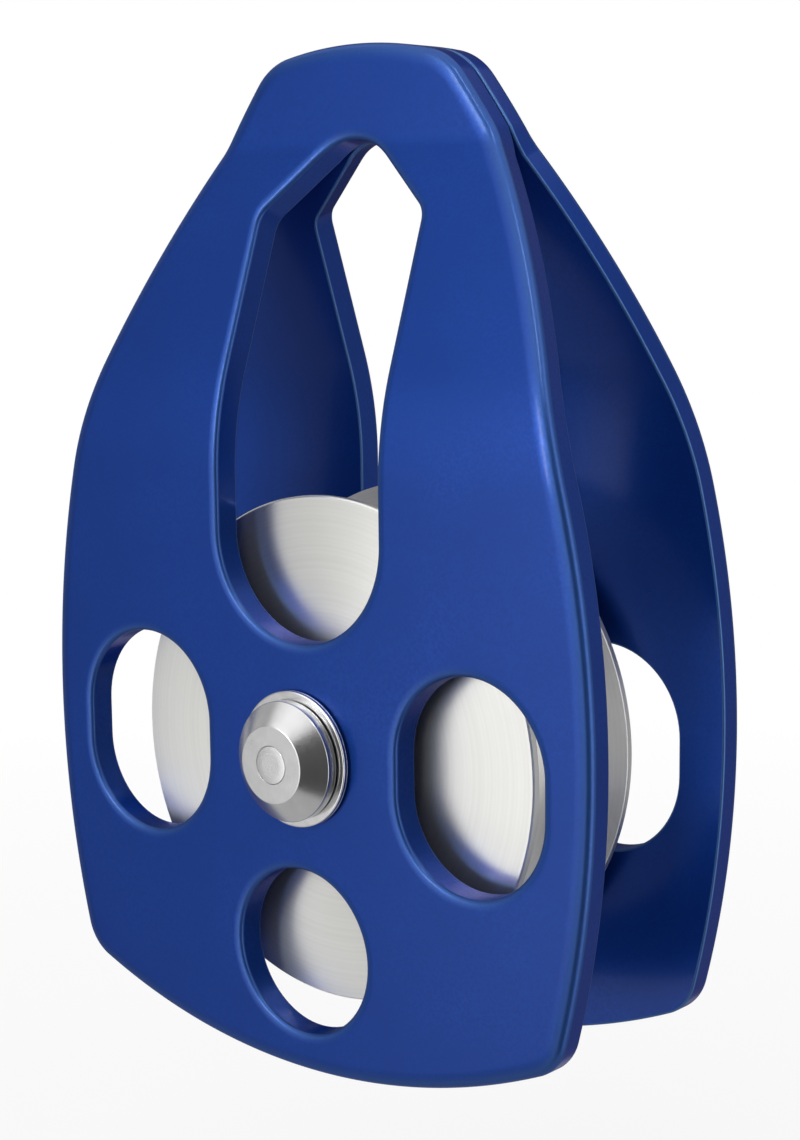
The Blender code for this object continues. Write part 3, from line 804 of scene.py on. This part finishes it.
def sheave_profile(sheave):
    """Half sections of the hub, side, rim and groove, with their small roundings."""
    lip = sheave.half_width - sheave.land
    centre = sheave.tread + sheave.groove
    reach = math.hypot(lip, sheave.radius - centre)
    touch = math.atan2(sheave.radius - centre, lip) - math.acos(sheave.groove / reach)
    groove = [(z, y, 0.0) for y, z in arc((0.0, centre), sheave.groove, touch, -math.pi - touch, 48)]
    break_edge = sheave.chamfer / 4
    hub = [
        (sheave.rib_radius, sheave.rib, break_edge),
        (sheave.hub, sheave.rib, 0.0),
        (sheave.hub, sheave.clip_start, break_edge),
        (sheave.clip_radius, sheave.clip_start, 0.0),
        (sheave.clip_radius, sheave.clip_end, 0.0),
        (sheave.hub, sheave.clip_end, break_edge),
        (sheave.hub, sheave.half_width, break_edge * 2),
    ]
    rim = [
        (sheave.radius - sheave.chamfer, sheave.half_width, break_edge / 2),
        (sheave.radius, sheave.half_width - sheave.chamfer, break_edge / 2),
        (sheave.radius, lip, sheave.chamfer),
    ]
    right = hub + rim
    return right + groove + on_side(reversed(right), -1)


class PULLEY_OT_sheave(bpy.types.Operator):
    """Make the grooved sheave"""
    bl_idname = "pulley.sheave"
    bl_label = "Sheave"

    def execute(self, context):
        finish = context.scene.pulley_finish
        material = turned_metal("turned_aluminium", finish.aluminium, finish.aluminium_dull, smooth=0.29,
                                rough=0.31, line_scale=1900.0, line_depth=0.014, anisotropy=0.78, groove=0.5)
        sheave = context.scene.pulley_sheave
        mesh = turned(soften(sheave_profile(sheave), True), SHEAVE_SEGMENTS)
        groove = mesh.verts.layers.float.new("groove")
        for vert in mesh.verts:
            outside = math.hypot(vert.co.x, vert.co.z) > sheave.tread - sheave.chamfer
            if outside and abs(vert.co.y) < sheave.half_width - sheave.land:
                vert[groove] = 1.0
        add_piece("grooved_sheave", mesh, material, "wheel", "sheave")
        return {"FINISHED"}


class PULLEY_OT_axle(bpy.types.Operator):
    """Make the axle and its spacers"""
    bl_idname = "pulley.axle"
    bl_label = "Axle and Spacers"

    def execute(self, context):
        axle = context.scene.pulley_axle
        bearing = context.scene.pulley_bearing
        finish = context.scene.pulley_finish
        material = turned_metal("axle_steel", finish.axle_steel, finish.axle_dull, smooth=0.24, rough=0.28,
                                line_scale=2600.0, line_depth=0.03)
        pin_edge = 0.0002
        step_edge = 0.0001
        end = [
            (axle.radius, axle.washer_out, pin_edge),
            (axle.rivet, axle.washer_out, step_edge),
            (axle.rivet, axle.head_out, axle.rivet_gap * HAIRLINE_ROUND),
            (axle.rivet / 2, axle.head_out, 0.0),
        ]
        profile = soften(on_side(reversed(end), -1) + end, False)
        pin = turned(profile, PIN_SEGMENTS, solid=True)
        add_piece("axle_pin", pin, material, "axle_group", "axle")
        rib = context.scene.pulley_sheave.rib
        bearing_end = bearing.start + bearing.width
        plate_inner = context.scene.pulley_plate.outer_face - context.scene.pulley_plate.thickness
        end_gap = 0.0003
        self.spacer(axle, material, "middle_spacer", "centre_spacer", -rib, rib)
        for place, side in SIDES:
            near = side * (bearing_end + end_gap)
            far = side * (plate_inner - end_gap)
            self.spacer(axle, material, place + "_shoulder_spacer", place + "_side_spacer", near, far)
        return {"FINISHED"}

    def spacer(self, axle, material, name, node, start, end):
        """A ring on the axle from start to end."""
        corners = ((axle.bore, start), (axle.spacer, start), (axle.spacer, end), (axle.bore, end))
        mesh = turned(soften([(*corner, BROKEN_EDGE) for corner in corners], True), SPACER_SEGMENTS)
        add_piece(name, mesh, material, "axle_group", node)


class PULLEY_OT_heads(bpy.types.Operator):
    """Make the riveted heads and their washers"""
    bl_idname = "pulley.heads"
    bl_label = "Heads and Washers"

    def execute(self, context):
        axle = context.scene.pulley_axle
        finish = context.scene.pulley_finish
        satin = worked_metal("polished_head", finish.head_steel, finish.head_dull, smooth=0.22, rough=0.27,
                             scale=520.0, depth=0.05)
        bright = worked_metal("polished_washer", finish.washer_steel, finish.washer_dull, smooth=0.15,
                              rough=0.18, scale=500.0, depth=0.01)
        for place, side in SIDES:
            head = turned(soften(on_side(self.head(axle), side), True), HEAD_SEGMENTS)
            add_piece(place + "_rivet_head", head, satin, "axle_group", place + "_head")
            washer = turned(soften(on_side(self.washer(axle), side), True), HEAD_SEGMENTS)
            add_piece(place + "_head_washer", washer, bright, "axle_group",
                      place + "_washer")
        return {"FINISHED"}

    def head(self, axle):
        """Section of a head: a collar, a cone and a flat end."""
        bore = axle.rivet + axle.rivet_gap
        under_edge = 0.0002
        collar_edge = 0.00025
        face_edge = 0.0003
        return [
            (bore, axle.head_in, 0.0),
            (axle.head_radius, axle.head_in, under_edge),
            (axle.head_radius, axle.head_in + axle.head_collar, collar_edge),
            (axle.head_face, axle.head_out, face_edge),
            (bore, axle.head_out, axle.rivet_gap * HAIRLINE_ROUND),
        ]

    def washer(self, axle):
        """Section of a washer with a rounded outer edge and a fine seam round its rim."""
        thick = axle.washer_out - axle.washer_in
        seam = axle.washer_in + thick * 0.32
        seam_half = thick * 0.05
        seam_depth = thick * 0.12
        low_edge = thick * 0.12
        top_edge = thick * 0.5
        bore_edge = 0.0001
        return [
            (axle.bore, axle.washer_in, 0.0),
            (axle.washer_radius, axle.washer_in, low_edge),
            (axle.washer_radius, seam - seam_half, seam_half),
            (axle.washer_radius - seam_depth, seam, 0.0),
            (axle.washer_radius, seam + seam_half, seam_half),
            (axle.washer_radius, axle.washer_out, top_edge),
            (axle.bore, axle.washer_out, bore_edge),
        ]


def ring_profile(bearing, away):
    """Section of a bearing ring about the bearing's middle, away -1 for the inner and 1 for the outer."""
    shoulder = bearing.pitch + away * bearing.shoulder
    back = bearing.outside if away > 0 else bearing.bore
    spread = math.acos(bearing.shoulder / bearing.race)
    half = bearing.width / 2
    race = []
    for step in range(RACE_STEPS + 1):
        angle = -spread + 2 * spread * step / RACE_STEPS
        out = away * bearing.race * math.cos(angle)
        race.append((bearing.pitch + out, bearing.race * math.sin(angle), 0.0))
    sides = [(shoulder, half, BROKEN_EDGE), (back, half, BROKEN_EDGE), (back, -half, BROKEN_EDGE)]
    return [(shoulder, -half, BROKEN_EDGE)] + race + sides


def ball_turn(bearing, number):
    """Angle of a ball round the axle."""
    return 2 * math.pi * (number + 0.5) / bearing.balls


def cage_mesh(bearing, middle, side):
    """A crown cage: a rim behind the balls with prongs that reach between them."""
    half_pocket = bearing.race / bearing.pitch
    half_pitch = math.pi / bearing.balls
    flare = 0.012
    columns = []
    for number in range(bearing.balls):
        centre = ball_turn(bearing, number)
        columns.append((centre - half_pitch, bearing.cage_prong))
        columns.append((centre - half_pocket - flare, bearing.cage_prong))
        for step in range(RACE_STEPS + 1):
            angle = -math.pi / 2 + math.pi * step / RACE_STEPS
            columns.append((centre + half_pocket * math.sin(angle), -bearing.race * math.cos(angle)))
        columns.append((centre + half_pocket + flare, bearing.cage_prong))
    foot = -bearing.race - bearing.cage_rim
    inner = bearing.pitch - bearing.cage_depth / 2
    outer = bearing.pitch + bearing.cage_depth / 2
    mesh = bmesh.new()
    rows = []
    for angle, top in columns:
        row = []
        for radius, lift in ((inner, foot), (outer, foot), (outer, top), (inner, top)):
            point = (radius * math.cos(angle), side * (middle + lift), radius * math.sin(angle))
            row.append(mesh.verts.new(point))
        rows.append(row)
    for i, here in enumerate(rows):
        there = rows[(i + 1) % len(rows)]
        for corner in range(4):
            after = (corner + 1) % 4
            mesh.faces.new((here[corner], here[after], there[after], there[corner]))
    return mesh


def ball_mesh(bearing, middle, side, number):
    """A ground ball with the faint flats that lapping leaves at its poles."""
    mesh = sphere_mesh(bearing.ball, BALL_SEGMENTS, BALL_RINGS)
    flat = bearing.ball * 0.998
    for vert in mesh.verts:
        vert.co.z = max(-flat, min(flat, vert.co.z))
    angle = ball_turn(bearing, number)
    place = Vector((bearing.pitch * math.cos(angle), side * middle, bearing.pitch * math.sin(angle)))
    bmesh.ops.translate(mesh, vec=place, verts=mesh.verts[:])
    return mesh


class PULLEY_OT_bearings(bpy.types.Operator):
    """Make the two ball bearings"""
    bl_idname = "pulley.bearings"
    bl_label = "Ball Bearings"

    def execute(self, context):
        bearing = context.scene.pulley_bearing
        finish = context.scene.pulley_finish
        steel = turned_metal("bearing_steel", finish.bearing_steel, finish.bearing_dull, smooth=0.14,
                             rough=0.22, line_scale=2600.0, line_depth=0.08)
        ground = worked_metal("ball_steel", finish.bearing_steel, finish.bearing_dull, smooth=0.05, rough=0.1,
                              scale=600.0, depth=0.01)
        brass = worked_metal("cage_brass", finish.brass, finish.brass_dull, smooth=0.26, rough=0.4,
                             scale=700.0, depth=0.1)
        rubber = seal_rubber(finish)
        middle = bearing.start + bearing.width / 2
        for place, side in SIDES:
            for kind, away, body in (("inner", -1, "axle_group"), ("outer", 1, "wheel")):
                section = [(r, side * (middle + y), edge) for r, y, edge in ring_profile(bearing, away)]
                mesh = turned(soften(section, True), PIN_SEGMENTS)
                add_piece(f"{place}_{kind}_race", mesh, steel, body, f"{place}_{kind}_ring")
            for kind, outward in (("outer", 1), ("inner", -1)):
                mesh = turned(soften(self.seal(bearing, middle, side, outward), True), PIN_SEGMENTS)
                add_piece(f"{place}_{kind}_shield", mesh, rubber, "wheel",
                          f"{place}_{kind}_seal")
            body = place + "_ball_set"
            cage = cage_mesh(bearing, middle, side)
            add_piece(place + "_crown_cage", cage, brass, body, place + "_cage")
            for number in range(bearing.balls):
                mesh = ball_mesh(bearing, middle, side, number)
                name = f"{place}_roller_{number + 1}"
                add_piece(name, mesh, ground, body, f"{place}_ball_{number + 1}")
        return {"FINISHED"}

    def seal(self, bearing, middle, side, outward):
        """Section of a seal with a shallow moulded step on its outer face."""
        top = bearing.width / 2 - bearing.seal_recess
        low = top - bearing.seal
        inner = bearing.pitch - bearing.shoulder + bearing.seal_gap
        outer = bearing.pitch + bearing.shoulder - bearing.seal_gap
        band = (outer - inner) * 0.3
        ramp = band * 0.3
        dish = top - bearing.seal * 0.4
        edge = bearing.seal * 0.2
        section = [
            (inner, low, edge),
            (outer, low, edge),
            (outer, top, edge),
            (outer - band, top, edge),
            (outer - band - ramp, dish, edge),
            (inner + band, dish, edge),
            (inner + band - ramp, top, edge),
            (inner, top, edge),
        ]
        return [(r, side * (middle + outward * y), rounding) for r, y, rounding in section]


class PULLEY_OT_retaining_rings(bpy.types.Operator):
    """Make the rings that keep the bearings in the sheave"""
    bl_idname = "pulley.retaining_rings"
    bl_label = "Retaining Rings"

    def execute(self, context):
        bearing = context.scene.pulley_bearing
        finish = context.scene.pulley_finish
        material = worked_metal("spring_steel", finish.spring, finish.spring_worn, smooth=0.28, rough=0.42,
                                scale=800.0, depth=0.08)
        gap = math.pi / 2 + bearing.clip_gap
        lug = gap + bearing.clip_lug_turn
        far = 3 * math.pi
        inside = bearing.clip_outside - bearing.clip_band
        tip = inside - bearing.clip_lug
        centre = (0.0, 0.0)
        outline = chain(
            arc(centre, bearing.clip_outside, gap, far - gap, 96),
            arc(centre, tip, far - gap, far - lug, 6),
            arc(centre, inside, far - lug, lug, 84),
            arc(centre, tip, lug, gap, 6),
        )
        hole_radius = (tip + bearing.clip_outside) / 2
        hole_turn = (gap + lug) / 2
        hole_centre = (hole_radius * math.cos(hole_turn), hole_radius * math.sin(hole_turn))
        hole = arc(hole_centre, bearing.clip_hole, 0.0, 2 * math.pi, 20)[:-1]
        loops = (outline, hole, [(-x, z) for x, z in hole])
        faces = (bearing.clip_in, bearing.clip_out)
        stamped_edge = 0.0001
        for place, side in SIDES:
            contours = [[[(x, side * y, z) for x, z in loop] for y in faces] for loop in loops]
            add_piece(place + "_spring_ring", slab(contours), material, "wheel",
                      place + "_retaining_ring", bevel=stamped_edge)
        return {"FINISHED"}


WHITE = (1.0, 1.0, 1.0, 1.0)

# Middle and radius of the room, half the floor's side and nearest distance seen, in metres; sensor in mm.
ROOM_CENTRE = (0.0, 0.0, AXLE_LEVEL + 0.025)
ROOM_RADIUS = 1.5
FLOOR_HALF = 4.0
NEAREST_SEEN = 0.01
SENSOR_WIDTH = 36.0
ROOM_SEGMENTS = 180
ROOM_RINGS = 90

# Each lamp: name, azimuth and elevation in degrees, distance, width and height in metres, brightness.
LAMPS = (
    ("key_box", 25.0, 45.0, 0.60, 0.30, 0.30, 6.0),
    ("right_box", 84.0, 12.0, 0.80, 0.24, 0.80, 1.2),
    ("rear_box", 190.0, 55.0, 0.85, 0.40, 0.40, 3.0),
)

# Azimuth in degrees and brightness of the room's wall there.
ROOM_LEVELS = (
    (-180.0, 1.0), (-110.0, 0.6), (-60.0, 0.30), (-46.0, 0.41), (-42.0, 0.53), (-38.0, 0.92), (-33.0, 1.40),
    (-20.0, 1.80), (-9.0, 0.95), (0.0, 0.76), (60.0, 0.85), (90.0, 1.0), (180.0, 1.0),
)

# Each card: left and right azimuth, lowest and highest elevation, grey level, soft margin; angles in degrees.
CARDS = (
    (-180.0, 180.0, -90.0, -50.0, 0.50, 8.0),
    (-180.0, 0.0, 44.0, 90.0, 1.08, 10.0),
    (-75.0, 20.0, -70.0, -32.0, 0.45, 12.0),
    (17.0, 68.0, -48.0, 38.0, 0.06, 3.0),
    (-17.0, -13.0, 6.0, 28.0, 12.0, 2.5),
    (29.0, 37.0, 52.0, 61.0, 9.0, 5.0),
    (72.0, 96.0, -28.0, 52.0, 1.70, 4.0),
    (106.0, 180.0, -48.0, 38.0, 0.38, 6.0),
    (184.0, 246.0, -30.0, 42.0, 0.12, 8.0),
)


def direction(azimuth, elevation):
    """Direction that lies so far to the right of the front and so high, in radians."""
    level = math.cos(elevation)
    return Vector((math.sin(azimuth) * level, -math.cos(azimuth) * level, math.sin(elevation)))


def add_lamp(name, azimuth, elevation, distance, width, height, level):
    """A softbox that faces the pulley; level is how bright its face is."""
    lamp = bpy.data.lights.new(name, "AREA")
    lamp.shape = "RECTANGLE"
    lamp.size = width
    lamp.size_y = height
    lamp.energy = level * math.pi * width * height
    holder = bpy.data.objects.new(name, lamp)
    out = direction(math.radians(azimuth), math.radians(elevation))
    holder.location = Vector(ROOM_CENTRE) + out * distance
    holder.rotation_euler = out.to_track_quat("Z", "Y").to_euler()
    holder.visible_camera = False
    holder.visible_glossy = False
    bpy.context.scene.collection.objects.link(holder)


def fade(value, low, high, soft):
    """One between two bounds, falling to nothing over a soft margin outside them."""
    return max(0.0, min(1.0, (value - low) / soft + 1.0, (high - value) / soft + 1.0))


def dome_level(azimuth, elevation):
    """Brightness of the white room in a direction, where grey and bright cards stand in front of it."""
    level = ROOM_LEVELS[-1][1]
    for (left, before), (right, after) in zip(ROOM_LEVELS, ROOM_LEVELS[1:]):
        if left <= azimuth <= right:
            level = before + (after - before) * (azimuth - left) / (right - left)
    for left, right, low, high, grey, soft in CARDS:
        middle = (left + right) / 2
        across = middle + (azimuth - middle + 180.0) % 360.0 - 180.0
        level += (grey - level) * fade(across, left, right, soft) * fade(elevation, low, high, soft)
    return level


def add_dome():
    """The white room with its grey cards, which only reflections show."""
    material, tree, shader = new_material("reflected_room")
    glow = tree.nodes.new("ShaderNodeEmission")
    glow.inputs["Color"].default_value = WHITE
    tree.links.new(painted(tree, "room_level"), glow.inputs["Strength"])
    tree.links.new(glow.outputs[0], tree.nodes["Material Output"].inputs["Surface"])
    tree.nodes.remove(shader)
    mesh = sphere_mesh(ROOM_RADIUS, ROOM_SEGMENTS, ROOM_RINGS)
    layer = mesh.verts.layers.float.new("room_level")
    for vert in mesh.verts:
        azimuth = math.degrees(math.atan2(vert.co.x, -vert.co.y))
        vert[layer] = dome_level(azimuth, math.degrees(math.asin(vert.co.z / vert.co.length)))
    dome = add_object("reflected_room", mesh, material, ROOM_CENTRE)
    dome.visible_camera = False
    dome.visible_diffuse = False
    dome.visible_shadow = False


def combine(tree, operation, first, second):
    """Sum or product of two values, at most one."""
    node = tree.nodes.new("ShaderNodeMath")
    node.operation = operation
    node.use_clamp = True
    tree.links.new(first, node.inputs[0])
    tree.links.new(second, node.inputs[1])
    return node.outputs[0]


def light_path_sum(tree):
    """One for rays from the camera and for rays that metal or glass sends on."""
    path = tree.nodes.new("ShaderNodeLightPath").outputs
    seen = combine(tree, "ADD", path["Is Camera Ray"], path["Is Glossy Ray"])
    return combine(tree, "ADD", seen, path["Is Transmission Ray"])


def blend_surfaces(tree, share, first, second, output):
    """Show the first surface, or the second as its share goes from nothing to one."""
    mix = tree.nodes.new("ShaderNodeMixShader")
    for value, socket in zip((share, first.outputs[0], second.outputs[0]), mix.inputs):
        tree.links.new(value, socket)
    tree.links.new(mix.outputs[0], tree.nodes[output].inputs["Surface"])


class PULLEY_OT_stage(bpy.types.Operator):
    """Set the floor, the soft light and the camera"""
    bl_idname = "pulley.stage"
    bl_label = "Stage"

    def execute(self, context):
        stage = context.scene.pulley_stage
        finish = context.scene.pulley_finish
        self.set_world(context, stage)
        self.set_floor(context, stage, finish)
        for lamp in LAMPS:
            add_lamp(*lamp)
        add_dome()
        self.set_camera(context, stage)
        context.scene.view_settings.view_transform = "Standard"
        return {"FINISHED"}

    def set_world(self, context, stage):
        """White to the camera and in reflections, softer as light."""
        world = bpy.data.worlds.new("White room")
        world.use_nodes = True
        context.scene.world = world
        tree = world.node_tree
        seen = tree.nodes["Background"]
        soft = tree.nodes.new("ShaderNodeBackground")
        for background, strength in ((seen, 1.0), (soft, stage.sky_level)):
            background.inputs["Color"].default_value = WHITE
            background.inputs["Strength"].default_value = strength
        blend_surfaces(tree, light_path_sum(tree), soft, seen, "World Output")

    def set_floor(self, context, stage, finish):
        """Paper that keeps the shadow and fades to white."""
        material, tree, shader = new_material("paper_floor")
        shader.inputs["Base Color"].default_value = (*finish.paper, 1.0)
        shader.inputs["Roughness"].default_value = 0.9
        shader.inputs["Specular IOR Level"].default_value = 0.0
        place = coordinates(tree)
        fibres = noise(tree, place, scale=600.0, detail=3.0)
        bump(tree, shader, fibres, strength=0.05, distance=0.0001)
        glow = tree.nodes.new("ShaderNodeEmission")
        glow.inputs["Color"].default_value = WHITE
        seen = tree.nodes.new("ShaderNodeLightPath").outputs["Is Camera Ray"]
        whiter = between(tree, distance_of(tree, place), 0.75, 1.0, start=0.1, end=0.7)
        blend_surfaces(tree, combine(tree, "MULTIPLY", seen, whiter), shader, glow, "Material Output")
        mesh = bmesh.new()
        bmesh.ops.create_grid(mesh, x_segments=2, y_segments=2, size=FLOOR_HALF)
        level = AXLE_LEVEL - context.scene.pulley_plate.bottom_depth - stage.floor_drop
        floor = add_object("paper_floor", mesh, material, (0.0, 0.0, level))
        floor.visible_glossy = False

    def set_camera(self, context, stage):
        """A camera at the photograph's angle."""
        back = direction(stage.azimuth, stage.elevation)
        right = Vector((math.cos(stage.azimuth), math.sin(stage.azimuth), 0.0))
        up = back.cross(right)
        rolled_right = math.cos(stage.roll) * right + math.sin(stage.roll) * up
        rolled_up = -math.sin(stage.roll) * right + math.cos(stage.roll) * up
        camera_data = bpy.data.cameras.new("photo_camera")
        camera_data.lens = stage.lens
        camera_data.sensor_width = SENSOR_WIDTH
        camera_data.clip_start = NEAREST_SEEN
        camera = bpy.data.objects.new("photo_camera", camera_data)
        place = Vector(stage.target) + Vector((0.0, 0.0, AXLE_LEVEL)) + back * stage.distance
        turned_to = Matrix((rolled_right, rolled_up, back)).transposed().to_4x4()
        camera.matrix_world = Matrix.Translation(place) @ turned_to
        context.scene.collection.objects.link(camera)
        context.scene.camera = camera


class PULLEY_PT_sidebar(bpy.types.Panel):
    """Sizes, finishes and steps of the pulley"""
    bl_idname = "PULLEY_PT_sidebar"
    bl_label = "Rope Pulley"
    bl_space_type = "VIEW_3D"
    bl_region_type = "UI"
    bl_category = "Pulley"

    def draw(self, context):
        for step in STEPS:
            self.layout.operator(step.bl_idname)
        for group in GROUPS:
            box = self.layout.box()
            values = getattr(context.scene, group)
            for name in values.bl_rna.properties.keys():
                if name not in ("rna_type", "name"):
                    box.prop(values, name)


GROUPS = {
    "pulley_plate": PlateSizes,
    "pulley_sheave": SheaveSizes,
    "pulley_axle": AxleSizes,
    "pulley_bearing": BearingSizes,
    "pulley_finish": Finishes,
    "pulley_stage": StageSizes,
}
STEPS = (
    PULLEY_OT_stage,
    PULLEY_OT_plates,
    PULLEY_OT_sheave,
    PULLEY_OT_axle,
    PULLEY_OT_heads,
    PULLEY_OT_bearings,
    PULLEY_OT_retaining_rings,
)


def register():
    for group in GROUPS.values():
        bpy.utils.register_class(group)
    for name, group in GROUPS.items():
        setattr(bpy.types.Scene, name, bpy.props.PointerProperty(type=group))
    for step in STEPS:
        bpy.utils.register_class(step)
    bpy.utils.register_class(PULLEY_PT_sidebar)


def unregister():
    bpy.utils.unregister_class(PULLEY_PT_sidebar)
    for step in reversed(STEPS):
        bpy.utils.unregister_class(step)
    for name, group in reversed(GROUPS.items()):
        delattr(bpy.types.Scene, name)
        bpy.utils.unregister_class(group)


def main():
    register()
    bpy.ops.pulley.stage()
    bpy.ops.pulley.plates()
    bpy.ops.pulley.sheave()
    bpy.ops.pulley.axle()
    bpy.ops.pulley.heads()
    bpy.ops.pulley.bearings()
    bpy.ops.pulley.retaining_rings()
    bpy.context.view_layer.update()


if __name__ == "__main__":
    main()
